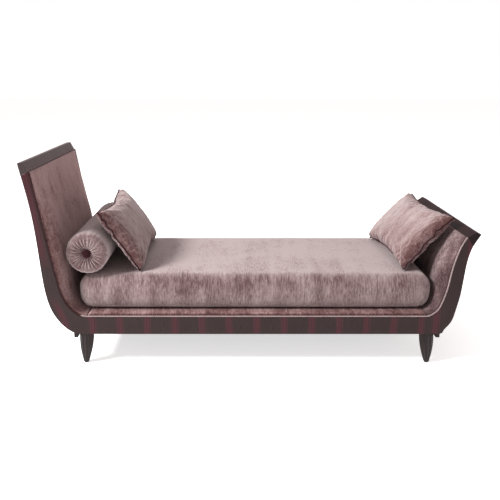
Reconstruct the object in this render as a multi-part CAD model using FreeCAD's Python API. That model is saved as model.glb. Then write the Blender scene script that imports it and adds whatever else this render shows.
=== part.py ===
import FreeCAD, Part
import math
import os

# A daybed with a straight rail and two unequal scrolled ends: a veneered frame on four fluted
# legs, upholstered inside, with a loose mattress, a bolster and two loose pillows.
# Millimetres. X runs along the length towards the low end, Y from the front face to the rear
# face, Z up. The origin is on the floor under the middle of the outline.

# Overall sizes
LENGTH = 2060.0
DEPTH = 840.0
TALL_END_HEIGHT = 962.0
LOW_END_HEIGHT = 649.0
LEG_HEIGHT = 155.0
RAIL_HEIGHT = 86.0
FRAME_THICKNESS = 28.0

# End outlines: each point is (inset from the tip, share of the height above the rail).
TALL_OUTER = [
    (0, 1.0), (36, 0.76), (57.5, 0.5), (70, 0.3),
    (94, 0.158), (126, 0.083), (171, 0.026), (232, 0.0),
]
TALL_INNER = [
    (44, 1.0), (87, 0.615), (110, 0.41), (130, 0.25),
    (155, 0.122), (195, 0.04), (222, 0.013), (262, 0.0),
]
LOW_OUTER = [
    (0, 1.0), (30, 0.89), (44, 0.8), (56, 0.62), (67, 0.39),
    (82, 0.231), (103, 0.107), (128, 0.038), (180, 0.0),
]
LOW_INNER = [
    (58, 1.0), (77, 0.909), (94, 0.786), (111, 0.6), (124, 0.37),
    (147, 0.155), (169, 0.061), (190, 0.02), (213, 0.0),
]
TALL_CREST_TOP = (23.0, 2.0)
TALL_CREST_FOOT = (44.0, -38.0)
LOW_CREST_TOP = (22.0, 9.5)
LOW_CREST_FOOT = (58.0, -15.5)
CREST_EDGE_RADIUS = 2.5
EDGE_RADIUS = 1.5
TALL_JOINT_INSET = 295.0
LOW_JOINT_INSET = 250.0

# Panels, cross rails and blocks inside the frame
SKIN_THICKNESS = 9.0
BACKING_THICKNESS = 6.0
RIB_HEIGHT = 45.0
TALL_RIB_SHARES = (0.16, 0.6)
LOW_RIB_SHARES = (0.3,)
DECK_RAIL_WIDTH = 30.0
STRETCHER_WIDTH = 30.0
STRETCHER_COUNT = 2
BATTEN_WIDTH = 25.0
BATTEN_HEIGHT = 28.0
BLOCK_DEPTH = 60.0
BLOCK_CLEARANCE = 16.0
SILL_WIDTH = 17.0
SILL_DROP = 17.0
SILL_GAP = 2.5

# Legs and their fittings
TALL_LEG_INSET = 247.0
LOW_LEG_INSET = 198.0
LEG_DIAMETER = 68.0
LEG_SETBACK = 4.0
LEG_FOOT_DIAMETER = 27.0
LEG_SPLAY = 10.0
# Each level of the leg: its share of the way down, and its share of the taper's width.
LEG_TAPER = ((0.0, 1.0), (0.2, 1.0), (0.4, 0.9), (0.66, 0.6), (0.9, 0.18), (1.0, 0.0))
FLUTE_COUNT = 12
FLUTE_DEPTH = 0.11
GLIDE_HEIGHT = 6.0
GLIDE_DIAMETER = 22.0
BOLT_DIAMETER = 10.0
BOLT_SETBACK = 8.0
BOLT_IN_LEG = 40.0
BOLT_END = 4.0
INSERT_DIAMETER = 14.0
INSERT_LENGTH = 30.0
DOWEL_DIAMETER = 10.0
DOWEL_LENGTH = 70.0
DOWELS_PER_JOINT = 2
CREST_DOWEL_DIAMETER = 8.0
CREST_DOWEL_LENGTH = 36.0
CREST_DOWEL_SETBACK = 18.0

# Upholstery fixed to the frame
WEBBING_WIDTH = 50.0
WEBBING_THICKNESS = 1.5
CROSS_WEBBING_COUNT = 10
LONG_WEBBING_COUNT = 4
CANVAS_THICKNESS = 1.0
DUST_COVER_THICKNESS = 1.0
DUST_COVER_RISE = 3.0
WELT_DIAMETER = 6.0
COVER_THICKNESS = 2.0
DECK_PAD_THICKNESS = 14.0
END_PAD_THICKNESS = 42.0
END_PAD_EDGE_RADIUS = 9.0

# Loose cushions
CUSHION_GAP = 0.4
CUSHION_SIDE_INSET = 50.0
MATTRESS_THICKNESS = 178.0
TALL_MATTRESS_INSET = 209.0
LOW_MATTRESS_INSET = 175.0
MATTRESS_END_RADIUS = 72.0
MATTRESS_SIDE_RADIUS = 44.0
BOLSTER_DIAMETER = 198.0
BOLSTER_BACK_INSET = 164.0
BOLSTER_EDGE_RADIUS = 16.0
BUTTON_DIAMETER = 44.0
BUTTON_THICKNESS = 9.0
PILLOW_HEIGHT = 332.0
PILLOW_LENGTH = 598.0
PILLOW_FRONT_SWELL = 74.0
PILLOW_BACK_SWELL = 36.0
# Each level across the pillow: its share of the half length, and its share of the swell.
PILLOW_LEVELS = ((-1.0, 0.1), (-0.66, 0.78), (0.0, 1.0), (0.66, 0.78), (1.0, 0.1))
PIPING_DIAMETER = 6.0
# How a pillow leans: its slope, the space behind its middle, its shift along Y and its turn.
TALL_PILLOW_LEAN = (55.3, 43.0, -16.0, 0.5)
LOW_PILLOW_LEAN = (47.2, 70.0, -2.0, 3.3)

# Places worked out from the sizes
HALF_LENGTH = LENGTH / 2
HALF_DEPTH = DEPTH / 2
CUSHION_HALF = HALF_DEPTH - CUSHION_SIDE_INSET
RAIL_BOTTOM = LEG_HEIGHT
RAIL_TOP = LEG_HEIGHT + RAIL_HEIGHT
INNER_HALF = HALF_DEPTH - FRAME_THICKNESS
PAD_HALF = HALF_DEPTH - WELT_DIAMETER
DECK_TOP = RAIL_TOP + DECK_PAD_THICKNESS
LONG_WEBBING_Z = RAIL_TOP - CANVAS_THICKNESS - WEBBING_THICKNESS
CROSS_WEBBING_Z = LONG_WEBBING_Z - WEBBING_THICKNESS
MATTRESS_BOTTOM = DECK_TOP + CUSHION_GAP
MATTRESS_TOP = MATTRESS_BOTTOM + MATTRESS_THICKNESS
LEG_Y = HALF_DEPTH - LEG_SETBACK - LEG_DIAMETER / 2
BOLT_Y = INNER_HALF - BOLT_SETBACK
BLOCK_TOP = RAIL_TOP - BLOCK_CLEARANCE
DUST_COVER_TOP = RAIL_BOTTOM + DUST_COVER_RISE + DUST_COVER_THICKNESS
PILLOW_FOOT = MATTRESS_TOP + PIPING_DIAMETER + CUSHION_GAP
TOUCH = 0.01


class End:
    """One scrolled end: its outline, with side -1 for the tall end and +1 for the low end."""

    def __init__(self, name, side, height, outer, inner, crest_top, crest_foot, joint_inset, leg_inset):
        self.name = name
        self.side = side
        self.tip_z = height - crest_top[1]
        self.joint_x = self.x_at(joint_inset)
        self.seam_x = self.x_at(inner[-1][0])
        self.leg_x = self.x_at(leg_inset)
        self.tip = self.point(0, self.tip_z)
        self.crest_top = self.point(crest_top[0], self.tip_z + crest_top[1])
        self.crest_foot = self.point(crest_foot[0], self.tip_z + crest_foot[1])
        self.outer = self.curve(outer, RAIL_BOTTOM, self.tip_z)
        self.inner = self.curve(inner, RAIL_TOP, self.crest_foot.z)

    def x_at(self, inset):
        return self.side * (HALF_LENGTH - inset)

    def point(self, inset, z):
        return FreeCAD.Vector(self.x_at(inset), 0, z)

    def curve(self, outline, low_z, high_z):
        """A smooth line down through the outline's points, level where it reaches the rail."""
        points = [self.point(inset, low_z + share * (high_z - low_z)) for inset, share in outline]
        level = FreeCAD.Vector(-self.side, 0, 0)
        spline = Part.BSplineCurve()
        spline.interpolate(Points=points, InitialTangent=points[1] - points[0], FinalTangent=level)
        return spline

    def block_x(self, share):
        """X inside the corner block, from its outer side (share 0) to its inner side (share 1)."""
        return self.leg_x + self.side * LEG_DIAMETER * (0.5 - share)


TALL = End(
    "tall", -1, TALL_END_HEIGHT, TALL_OUTER, TALL_INNER, TALL_CREST_TOP, TALL_CREST_FOOT,
    TALL_JOINT_INSET, TALL_LEG_INSET,
)
LOW = End(
    "low", 1, LOW_END_HEIGHT, LOW_OUTER, LOW_INNER, LOW_CREST_TOP, LOW_CREST_FOOT,
    LOW_JOINT_INSET, LOW_LEG_INSET,
)
ENDS = (TALL, LOW)
FACES = (("front", -1), ("rear", 1))


# Helpers

def save(name, shape):
    shape.exportStep(os.path.join("parts", name + ".step"))


def box(x0, x1, y0, y1, z0, z1):
    low = FreeCAD.Vector(min(x0, x1), min(y0, y1), min(z0, z1))
    return Part.makeBox(abs(x1 - x0), abs(y1 - y0), abs(z1 - z0), low)


def rod(start, direction, length, diameter):
    return Part.makeCylinder(diameter / 2, length, start, direction)


def line(start, end):
    return Part.LineSegment(start, end).toShape()


def offset_point(curve, share, distance, side):
    """A point at a distance from the curve, measured towards the middle of the daybed."""
    first, last = curve.FirstParameter, curve.LastParameter
    parameter = first + share * (last - first)
    tangent = curve.tangent(parameter)[0]
    normal = FreeCAD.Vector(tangent.z, 0, -tangent.x) * side
    return curve.value(parameter) + normal * distance


def offset_curve(curve, side, distance_at, steps=16):
    """A spline beside the curve; distance_at gives the distance for each share of its length."""
    shares = [step / steps for step in range(steps + 1)]
    spline = Part.BSplineCurve()
    spline.interpolate([offset_point(curve, share, distance_at(share), side) for share in shares])
    return spline


def band(near, far, y0, y1):
    """The solid between two curves that run the same way, from y0 to y1."""
    edges = [
        near.toShape(),
        line(near.EndPoint, far.EndPoint),
        far.toShape(),
        line(far.StartPoint, near.StartPoint),
    ]
    face = Part.Face(Part.Wire(Part.__sortEdges__(edges)))
    face.translate(FreeCAD.Vector(0, y0, 0))
    return face.extrude(FreeCAD.Vector(0, y1 - y0, 0))


def fillet_face_outline(solid, y, radius):
    """Rounds the edges that lie in the plane of the given y."""
    edges = [edge for edge in solid.Edges if all(abs(v.Point.y - y) < TOUCH for v in edge.Vertexes)]
    return solid.makeFillet(radius, edges)


# Frame

def end_body(end, y0, y1):
    """The whole end's outline as a solid: the post and the crest in one."""
    edges = [
        end.outer.toShape(),
        line(end.tip, end.crest_top),
        line(end.crest_top, end.crest_foot),
        end.inner.toShape(),
        line(end.inner.EndPoint, FreeCAD.Vector(end.joint_x, 0, RAIL_TOP)),
        line(FreeCAD.Vector(end.joint_x, 0, RAIL_TOP), FreeCAD.Vector(end.joint_x, 0, RAIL_BOTTOM)),
        line(FreeCAD.Vector(end.joint_x, 0, RAIL_BOTTOM), end.outer.EndPoint),
    ]
    face = Part.Face(Part.Wire(Part.__sortEdges__(edges)))
    face.translate(FreeCAD.Vector(0, y0, 0))
    return face.extrude(FreeCAD.Vector(0, y1 - y0, 0))


def crest_axis(end):
    """The direction square to the joint under the crest, pointing up."""
    return (end.crest_top - end.crest_foot).normalize()


def crest_space(end):
    """Everything above the joint between the crest and the posts."""
    up = crest_axis(end)
    block = box(-DEPTH, DEPTH, -DEPTH, DEPTH, 0, DEPTH)
    turn = FreeCAD.Rotation(FreeCAD.Vector(0, 0, 1), up)
    block.Placement = FreeCAD.Placement(end.crest_foot, turn)
    return block


def crest_dowel_set(end):
    up = crest_axis(end)
    across = FreeCAD.Vector(up.z, 0, -up.x) * end.side
    middle = end.crest_foot + across * CREST_DOWEL_SETBACK
    dowels = []
    for _, face in FACES:
        start = middle - up * (CREST_DOWEL_LENGTH / 2)
        start.y = face * (HALF_DEPTH - FRAME_THICKNESS / 2)
        dowels.append(rod(start, up, CREST_DOWEL_LENGTH, CREST_DOWEL_DIAMETER))
    return dowels


def rail_dowel_set(end):
    x = end.joint_x - DOWEL_LENGTH / 2
    dowels = []
    for _, face in FACES:
        y = face * (HALF_DEPTH - FRAME_THICKNESS / 2)
        for row in range(DOWELS_PER_JOINT):
            z = RAIL_BOTTOM + RAIL_HEIGHT * (row + 1) / (DOWELS_PER_JOINT + 1)
            start = FreeCAD.Vector(x, y, z)
            dowels.append(rod(start, FreeCAD.Vector(1, 0, 0), DOWEL_LENGTH, DOWEL_DIAMETER))
    return dowels


def post(end, face, dowels):
    y0, y1 = sorted((face * INNER_HALF, face * HALF_DEPTH))
    solid = end_body(end, y0, y1).cut(crest_space(end))
    solid = fillet_face_outline(solid, face * HALF_DEPTH, EDGE_RADIUS)
    return solid.cut(Part.makeCompound(dowels)).Solids[0]


def crest(end, dowels):
    solid = end_body(end, -HALF_DEPTH, HALF_DEPTH).common(crest_space(end))
    rounded = []
    for edge in solid.Edges:
        heights = [vertex.Point.z for vertex in edge.Vertexes]
        if min(heights) > end.crest_foot.z + TOUCH and edge.Length > FRAME_THICKNESS:
            rounded.append(edge)
    solid = solid.makeFillet(CREST_EDGE_RADIUS, rounded)
    return solid.cut(Part.makeCompound(dowels)).Solids[0]


def rail(face, dowels):
    solid = box(TALL.joint_x, LOW.joint_x, face * INNER_HALF, face * HALF_DEPTH, RAIL_BOTTOM, RAIL_TOP)
    outer = face * HALF_DEPTH
    long_edges = [
        edge for edge in solid.Edges
        if edge.BoundBox.ZLength < TOUCH and all(abs(v.Point.y - outer) < TOUCH for v in edge.Vertexes)
    ]
    return solid.makeFillet(EDGE_RADIUS, long_edges).cut(Part.makeCompound(dowels)).Solids[0]


def below_crest(end, solid):
    return solid.cut(crest_space(end)).Solids[0]


def skin(end):
    """The outer panel between the posts, from the crest down to the sill."""
    inside = offset_curve(end.outer, end.side, lambda share: SKIN_THICKNESS)
    panel = band(end.outer, inside, -INNER_HALF, INNER_HALF)
    beyond = box(end.block_x(0), 0, -HALF_DEPTH, HALF_DEPTH, 0, TALL_END_HEIGHT)
    return below_crest(end, panel.cut(beyond))


def backing(end):
    """The inner panel between the posts, which carries the end's padding."""
    inside = offset_curve(end.inner, end.side, lambda share: -BACKING_THICKNESS)
    panel = band(end.inner, inside, -INNER_HALF, INNER_HALF)
    flat = box(end.seam_x, end.joint_x, -INNER_HALF, INNER_HALF, RAIL_TOP - BACKING_THICKNESS, RAIL_TOP)
    return below_crest(end, panel.fuse(flat).removeSplitter())


def rib(end, share, panels):
    """A cross rail between the two panels, at a share of the height above the rail."""
    z = RAIL_TOP + share * (end.crest_foot.z - RAIL_TOP)
    between = end_body(end, -INNER_HALF, INNER_HALF)
    slab = box(-HALF_LENGTH, HALF_LENGTH, -INNER_HALF, INNER_HALF, z, z + RIB_HEIGHT)
    return between.common(slab).cut(Part.makeCompound(panels)).Solids[0]


def deck_inner_x(end):
    return end.block_x(1) - end.side * DECK_RAIL_WIDTH


def deck_rail(end, panel):
    solid = box(
        end.block_x(1), deck_inner_x(end), -INNER_HALF, INNER_HALF, DUST_COVER_TOP, LONG_WEBBING_Z,
    )
    return solid.cut(panel).Solids[0]


def stretcher(number):
    x = deck_inner_x(TALL) + (deck_inner_x(LOW) - deck_inner_x(TALL)) * number / (STRETCHER_COUNT + 1)
    half = STRETCHER_WIDTH / 2
    top = CROSS_WEBBING_Z - BATTEN_HEIGHT
    return box(x - half, x + half, -INNER_HALF, INNER_HALF, DUST_COVER_TOP, top)


def batten(face):
    return box(
        deck_inner_x(TALL), deck_inner_x(LOW), face * (INNER_HALF - BATTEN_WIDTH), face * INNER_HALF,
        CROSS_WEBBING_Z - BATTEN_HEIGHT, CROSS_WEBBING_Z,
    )


def corner_block(end, face, fittings):
    solid = box(
        end.block_x(0), end.block_x(1), face * (INNER_HALF - BLOCK_DEPTH), face * INNER_HALF,
        RAIL_BOTTOM, BLOCK_TOP,
    )
    return solid.cut(Part.makeCompound(fittings)).Solids[0]


def sill(end):
    """The bar under the end beside the legs; its top follows the underside of the end."""
    inner_x = end.block_x(0) + end.side * SILL_GAP
    bar = box(
        inner_x, inner_x + end.side * SILL_WIDTH, EDGE_RADIUS - HALF_DEPTH, HALF_DEPTH - EDGE_RADIUS,
        RAIL_BOTTOM - SILL_DROP, RAIL_BOTTOM + SILL_DROP,
    )
    return bar.cut(end_body(end, -HALF_DEPTH, HALF_DEPTH)).Solids[0]


# Legs

def fluted_section(radius, centre):
    """A ring of shallow hollows that meet in sharp arrises."""
    step = 2 * math.pi / FLUTE_COUNT
    ring = []
    for number in range(FLUTE_COUNT):
        angles = ((number + share) * step for share in (0, 0.5, 1))
        radii = (radius, radius * (1 - FLUTE_DEPTH), radius)
        points = [
            centre + FreeCAD.Vector(reach * math.cos(angle), reach * math.sin(angle), 0)
            for reach, angle in zip(radii, angles)
        ]
        ring.append(Part.Arc(*points).toShape())
    return Part.Wire(ring)


def leg_centre(end, face, z):
    """The middle of the leg at a height; the leg leans outwards on its way down."""
    lean = LEG_SPLAY * (LEG_HEIGHT - z) / LEG_HEIGHT
    return FreeCAD.Vector(end.leg_x + end.side * lean, face * (LEG_Y + lean), z)


def leg(end, face, bolt):
    """A fluted leg whose sides curve in towards a small foot."""
    top, foot = LEG_DIAMETER / 2, LEG_FOOT_DIAMETER / 2
    run = LEG_HEIGHT - GLIDE_HEIGHT
    sections = []
    for share, width in LEG_TAPER:
        centre = leg_centre(end, face, LEG_HEIGHT - share * run)
        sections.append(fluted_section(foot + (top - foot) * width, centre))
    return Part.makeLoft(sections, True, False).cut(bolt).Solids[0]


def leg_bolt(end, face):
    start = FreeCAD.Vector(end.leg_x, face * BOLT_Y, LEG_HEIGHT - BOLT_IN_LEG)
    return rod(start, FreeCAD.Vector(0, 0, 1), BLOCK_TOP + BOLT_END - start.z, BOLT_DIAMETER)


def leg_insert(end, face, bolt):
    start = FreeCAD.Vector(end.leg_x, face * BOLT_Y, RAIL_BOTTOM)
    return rod(start, FreeCAD.Vector(0, 0, 1), INSERT_LENGTH, INSERT_DIAMETER).cut(bolt)


def glide(end, face):
    start = leg_centre(end, face, GLIDE_HEIGHT)
    solid = rod(start, FreeCAD.Vector(0, 0, -1), GLIDE_HEIGHT, GLIDE_DIAMETER)
    rim = [edge for edge in solid.Edges if abs(edge.BoundBox.ZMax) < TOUCH]
    return solid.makeFillet(GLIDE_HEIGHT / 4, rim)


# Fixed upholstery

def cross_webbing():
    x0, x1 = deck_inner_x(TALL), deck_inner_x(LOW)
    bands = []
    for number in range(CROSS_WEBBING_COUNT):
        x = x0 + (x1 - x0) * (number + 0.5) / CROSS_WEBBING_COUNT
        bands.append(box(x - WEBBING_WIDTH / 2, x + WEBBING_WIDTH / 2, -INNER_HALF, INNER_HALF,
                         CROSS_WEBBING_Z, LONG_WEBBING_Z))
    return Part.makeCompound(bands)


def long_webbing():
    bands = []
    for number in range(LONG_WEBBING_COUNT):
        y = -INNER_HALF + 2 * INNER_HALF * (number + 0.5) / LONG_WEBBING_COUNT
        bands.append(box(TALL.joint_x, LOW.joint_x, y - WEBBING_WIDTH / 2, y + WEBBING_WIDTH / 2,
                         LONG_WEBBING_Z, LONG_WEBBING_Z + WEBBING_THICKNESS))
    return Part.makeCompound(bands)


def canvas():
    return box(TALL.joint_x, LOW.joint_x, -INNER_HALF, INNER_HALF, RAIL_TOP - CANVAS_THICKNESS, RAIL_TOP)


def dust_cover(blocks):
    bottom = DUST_COVER_TOP - DUST_COVER_THICKNESS
    sheet = box(TALL.block_x(0), LOW.block_x(0), -INNER_HALF, INNER_HALF, bottom, DUST_COVER_TOP)
    return sheet.cut(Part.makeCompound(blocks)).Solids[0]


def deck_block(inset):
    return box(TALL.seam_x, LOW.seam_x, inset - PAD_HALF, PAD_HALF - inset, RAIL_TOP, DECK_TOP - inset)


def pad_thickness(share, inset):
    """The end pad is thin at the crest and at the deck seam and full between them."""
    swell = math.sin(math.pi * share) ** 2
    return DECK_PAD_THICKNESS + (END_PAD_THICKNESS - DECK_PAD_THICKNESS) * swell - inset


def end_pad(end, inset):
    surface = offset_curve(end.inner, end.side, lambda share: pad_thickness(share, inset))
    solid = band(end.inner, surface, inset - PAD_HALF, PAD_HALF - inset)
    surface_edges = [
        edge for edge in solid.Edges
        if edge.BoundBox.YLength < TOUCH and abs(edge.Length - surface.length()) < TOUCH
    ]
    return solid.makeFillet(END_PAD_EDGE_RADIUS, surface_edges)


def welt(face):
    """The corded edge along the inner line of the frame, from one crest to the other."""
    y0, y1 = sorted((face * PAD_HALF, face * HALF_DEPTH))
    solid = box(TALL.seam_x, LOW.seam_x, y0, y1, RAIL_TOP, RAIL_TOP + WELT_DIAMETER)
    for end in ENDS:
        inside = offset_curve(end.inner, end.side, lambda share: WELT_DIAMETER)
        solid = solid.fuse(band(end.inner, inside, y0, y1))
    return solid.removeSplitter().Solids[0]


# Loose cushions

def mattress_block(inset):
    """A block with well-rounded ends and less rounded long sides."""
    half = CUSHION_HALF - inset
    solid = box(
        TALL.x_at(TALL_MATTRESS_INSET) + inset, LOW.x_at(LOW_MATTRESS_INSET) - inset,
        -half, half, MATTRESS_BOTTOM + inset, MATTRESS_TOP - inset,
    )
    end_edges = [edge for edge in solid.Edges if edge.BoundBox.YLength > half]
    solid = solid.makeFillet(MATTRESS_END_RADIUS - inset, end_edges)
    for _, face in FACES:
        solid = fillet_face_outline(solid, face * half, MATTRESS_SIDE_RADIUS - inset)
    return solid


def bolster_centre(y):
    radius = BOLSTER_DIAMETER / 2
    return FreeCAD.Vector(TALL.x_at(BOLSTER_BACK_INSET + radius), y, MATTRESS_TOP + CUSHION_GAP + radius)


def bolster_roll(inset):
    half = CUSHION_HALF - inset
    solid = rod(bolster_centre(-half), FreeCAD.Vector(0, 1, 0), 2 * half, BOLSTER_DIAMETER - 2 * inset)
    rims = [edge for edge in solid.Edges if edge.isClosed()]
    return solid.makeFillet(BOLSTER_EDGE_RADIUS - inset, rims)


def button(face):
    start = bolster_centre(face * CUSHION_HALF)
    solid = rod(start, FreeCAD.Vector(0, face, 0), BUTTON_THICKNESS, BUTTON_DIAMETER)
    outer = start.y + face * BUTTON_THICKNESS
    rim = [edge for edge in solid.Edges if edge.isClosed() and abs(edge.valueAt(0).y - outer) < TOUCH]
    return solid.makeFillet(BUTTON_THICKNESS / 2, rim)


def pillow_section(y, share, inset):
    """A lens across the pillow: X up the slope, Z to the front of the pillow."""
    low, high = 2 * inset, PILLOW_HEIGHT - 2 * inset
    front = PILLOW_FRONT_SWELL * share - inset
    back = PILLOW_BACK_SWELL * share - inset
    start, end = FreeCAD.Vector(low, y, 0), FreeCAD.Vector(high, y, 0)
    over = Part.Arc(start, FreeCAD.Vector((low + high) / 2, y, front), end).toShape()
    under = Part.Arc(end, FreeCAD.Vector((low + high) / 2, y, -back), start).toShape()
    return Part.Wire([over, under])


def pillow_body(inset):
    half = PILLOW_LENGTH / 2 - inset
    sections = [pillow_section(place * half, share, inset) for place, share in PILLOW_LEVELS]
    return Part.makeLoft(sections, True, False)


def pillow_piping():
    """A cord round the pillow's seam."""
    reach = PIPING_DIAMETER / 2 + CUSHION_GAP / 2
    low, high = -reach, PILLOW_HEIGHT + reach
    side = PILLOW_LENGTH / 2 + reach
    corners = [
        FreeCAD.Vector(low, -side, 0), FreeCAD.Vector(high, -side, 0),
        FreeCAD.Vector(high, side, 0), FreeCAD.Vector(low, side, 0),
    ]
    ring = Part.makeSphere(PIPING_DIAMETER / 2, corners[0])
    for start, end in zip(corners, corners[1:] + corners[:1]):
        run = end - start
        ring = ring.fuse(rod(start, run, run.Length, PIPING_DIAMETER))
        ring = ring.fuse(Part.makeSphere(PIPING_DIAMETER / 2, end))
    return ring.removeSplitter().Solids[0]


def pillow_foot_x(end, rest, slope, space):
    """Where the pillow's lower edge stands, so that its middle passes the rest at that space."""
    rise = rest.z - PILLOW_FOOT
    return rest.x - end.side * (space + rise * math.cos(slope)) / math.sin(slope)


def place_pillow(shape, end, rest, radius, lean):
    """Stands the pillow on its lower edge on the mattress, leaning on the rest."""
    degrees, space, shift, turn = lean
    slope = math.radians(degrees)
    up = FreeCAD.Vector(end.side * math.cos(slope), 0, math.sin(slope))
    front = FreeCAD.Vector(-end.side * up.z, 0, abs(up.x))
    along = front.cross(up)
    foot_x = pillow_foot_x(end, rest, slope, radius + space)
    stand = FreeCAD.Matrix(
        up.x, along.x, front.x, 0,
        up.y, along.y, front.y, 0,
        up.z, along.z, front.z, 0,
        0, 0, 0, 1,
    )
    stand.rotateZ(math.radians(turn))
    stand.move(FreeCAD.Vector(foot_x, shift, PILLOW_FOOT))
    placed = shape.copy()
    placed.Placement = FreeCAD.Placement(stand)
    return placed


# Build

def build_frame():
    rail_dowels = [dowel for end in ENDS for dowel in rail_dowel_set(end)]
    crest_dowels = [dowel for end in ENDS for dowel in crest_dowel_set(end)]
    save("rail_dowels", Part.makeCompound(rail_dowels))
    save("crest_dowels", Part.makeCompound(crest_dowels))
    for face_name, face in FACES:
        save(face_name + "_rail", rail(face, rail_dowels))
        save(face_name + "_batten", batten(face))
        save(face_name + "_welt", welt(face))
        for end in ENDS:
            save(end.name + "_" + face_name + "_post", post(end, face, rail_dowels + crest_dowels))
    for end in ENDS:
        outer_panel, inner_panel = skin(end), backing(end)
        save(end.name + "_end_skin", outer_panel)
        save(end.name + "_end_backing", inner_panel)
        save(end.name + "_crest", crest(end, crest_dowels))
        save(end.name + "_deck_rail", deck_rail(end, inner_panel))
        save(end.name + "_sill", sill(end))
        shares = TALL_RIB_SHARES if end is TALL else LOW_RIB_SHARES
        for number, share in enumerate(shares, 1):
            save("%s_rib_%d" % (end.name, number), rib(end, share, [outer_panel, inner_panel]))
    for number in range(1, STRETCHER_COUNT + 1):
        save("deck_stretcher_%d" % number, stretcher(number))


def build_legs():
    bolts, inserts, blocks = [], [], []
    for end in ENDS:
        for face_name, face in FACES:
            bolt = leg_bolt(end, face)
            insert = leg_insert(end, face, bolt)
            name = end.name + "_" + face_name
            bolts.append(bolt)
            inserts.append(insert)
            blocks.append(corner_block(end, face, [bolt, insert]))
            save(name + "_leg", leg(end, face, bolt))
            save(name + "_glide", glide(end, face))
    save("leg_bolts", Part.makeCompound(bolts))
    save("leg_inserts", Part.makeCompound(inserts))
    save("corner_blocks", Part.makeCompound(blocks))
    save("dust_cover", dust_cover(blocks))


def build_upholstery():
    save("cross_webbing", cross_webbing())
    save("long_webbing", long_webbing())
    save("deck_canvas", canvas())
    save("deck_pad", deck_block(COVER_THICKNESS))
    save("deck_cover", deck_block(0).cut(deck_block(COVER_THICKNESS)).Solids[0])
    for end in ENDS:
        foam = end_pad(end, COVER_THICKNESS)
        save(end.name + "_end_foam", foam)
        save(end.name + "_end_cover", end_pad(end, 0).cut(foam).Solids[0])


def build_cushions():
    core = mattress_block(COVER_THICKNESS)
    save("mattress_core", core)
    save("mattress_cover", mattress_block(0).cut(core).Solids[0])
    roll = bolster_roll(COVER_THICKNESS)
    save("bolster_core", roll)
    save("bolster_cover", bolster_roll(0).cut(roll).Solids[0])
    for face_name, face in FACES:
        save("bolster_" + face_name + "_button", button(face))
    filling = pillow_body(COVER_THICKNESS)
    pieces = {"filling": filling, "cover": pillow_body(0).cut(filling).Solids[0], "piping": pillow_piping()}
    leans = (
        (TALL, bolster_centre(0), BOLSTER_DIAMETER / 2, TALL_PILLOW_LEAN),
        (LOW, LOW.crest_foot, 0.0, LOW_PILLOW_LEAN),
    )
    for end, rest, radius, lean in leans:
        for piece, shape in pieces.items():
            save(end.name + "_pillow_" + piece, place_pillow(shape, end, rest, radius, lean))


os.makedirs("parts", exist_ok=True)
build_frame()
build_legs()
build_upholstery()
build_cushions()
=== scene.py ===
# %% [markdown]
# A daybed in velvet and banded veneer.
# The hard parts come ready made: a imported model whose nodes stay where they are. This lesson
# dresses them. It gives the wood its finish, and it replaces every plain soft solid with a
# cushion, pad, cord or cloth that looks sewn and stuffed. Everything is in metres, with X along
# the daybed towards the low end, Y from the front to the rear, and Z up from the floor.

# %% Load the frame
import bpy
import math
from mathutils import Matrix, Vector, noise


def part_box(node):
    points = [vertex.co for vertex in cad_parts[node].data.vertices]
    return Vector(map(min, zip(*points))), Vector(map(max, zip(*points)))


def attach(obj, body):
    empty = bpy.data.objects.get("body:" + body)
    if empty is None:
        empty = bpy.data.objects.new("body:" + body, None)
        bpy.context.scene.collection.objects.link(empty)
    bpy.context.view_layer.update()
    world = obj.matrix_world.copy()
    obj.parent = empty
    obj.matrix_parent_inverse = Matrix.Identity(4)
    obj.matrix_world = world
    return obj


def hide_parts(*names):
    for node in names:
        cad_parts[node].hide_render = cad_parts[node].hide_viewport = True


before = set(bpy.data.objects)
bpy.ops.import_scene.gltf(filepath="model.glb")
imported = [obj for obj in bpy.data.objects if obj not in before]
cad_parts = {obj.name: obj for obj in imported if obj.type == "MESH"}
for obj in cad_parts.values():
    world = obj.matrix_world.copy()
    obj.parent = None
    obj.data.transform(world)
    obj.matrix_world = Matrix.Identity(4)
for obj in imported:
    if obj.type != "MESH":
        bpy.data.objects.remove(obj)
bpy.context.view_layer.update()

scene = bpy.context.scene


# %% [markdown]
# Helpers come first, and there are few. A piece is a mesh with its origin at the origin of the
# model, so that its own coordinates are places on the daybed, which the procedural materials
# use. A cushion that lies at an angle keeps its own upright coordinates and is placed by a
# matrix instead, so that the nap of its velvet turns with it. Every piece ends in the same way:
# it is given a material, the body that it moves with, and the plain nodes that it replaces.

# %% Make and finish a piece
def new_object(name, data, place=None):
    piece = bpy.data.objects.new(name, data)
    scene.collection.objects.link(piece)
    if place is not None:
        piece.matrix_world = place
    return piece


def build(name, points, faces, place=None):
    """A piece with a mesh made from points and faces."""
    mesh = bpy.data.meshes.new(name)
    mesh.from_pydata([tuple(point) for point in points], [], faces)
    mesh.validate()
    mesh.update()
    return new_object(name, mesh, place)


def smooth(piece):
    for polygon in piece.data.polygons:
        polygon.use_smooth = True


def subdivide(piece):
    modifier = piece.modifiers.new("subdivision", "SUBSURF")
    modifier.levels = 1
    modifier.render_levels = 1


def seat(piece, material, body, nodes=()):
    """Gives a finished piece its material, its body and the nodes that it stands for."""
    piece.data.materials.append(material)
    if nodes:
        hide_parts(*nodes)
    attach(piece, body)


def tube(name, points, radius, closed=False, place=None):
    """A round cord through the points, as one smooth curve."""
    curve = bpy.data.curves.new(name, "CURVE")
    curve.dimensions = "3D"
    curve.bevel_depth = radius
    curve.bevel_resolution = 4
    curve.use_fill_caps = not closed
    spline = curve.splines.new("POLY")
    spline.points.add(len(points) - 1)
    for target, point in zip(spline.points, points):
        target.co = (*point, 1)
    spline.use_cyclic_u = closed
    return new_object(name, curve, place)


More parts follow.
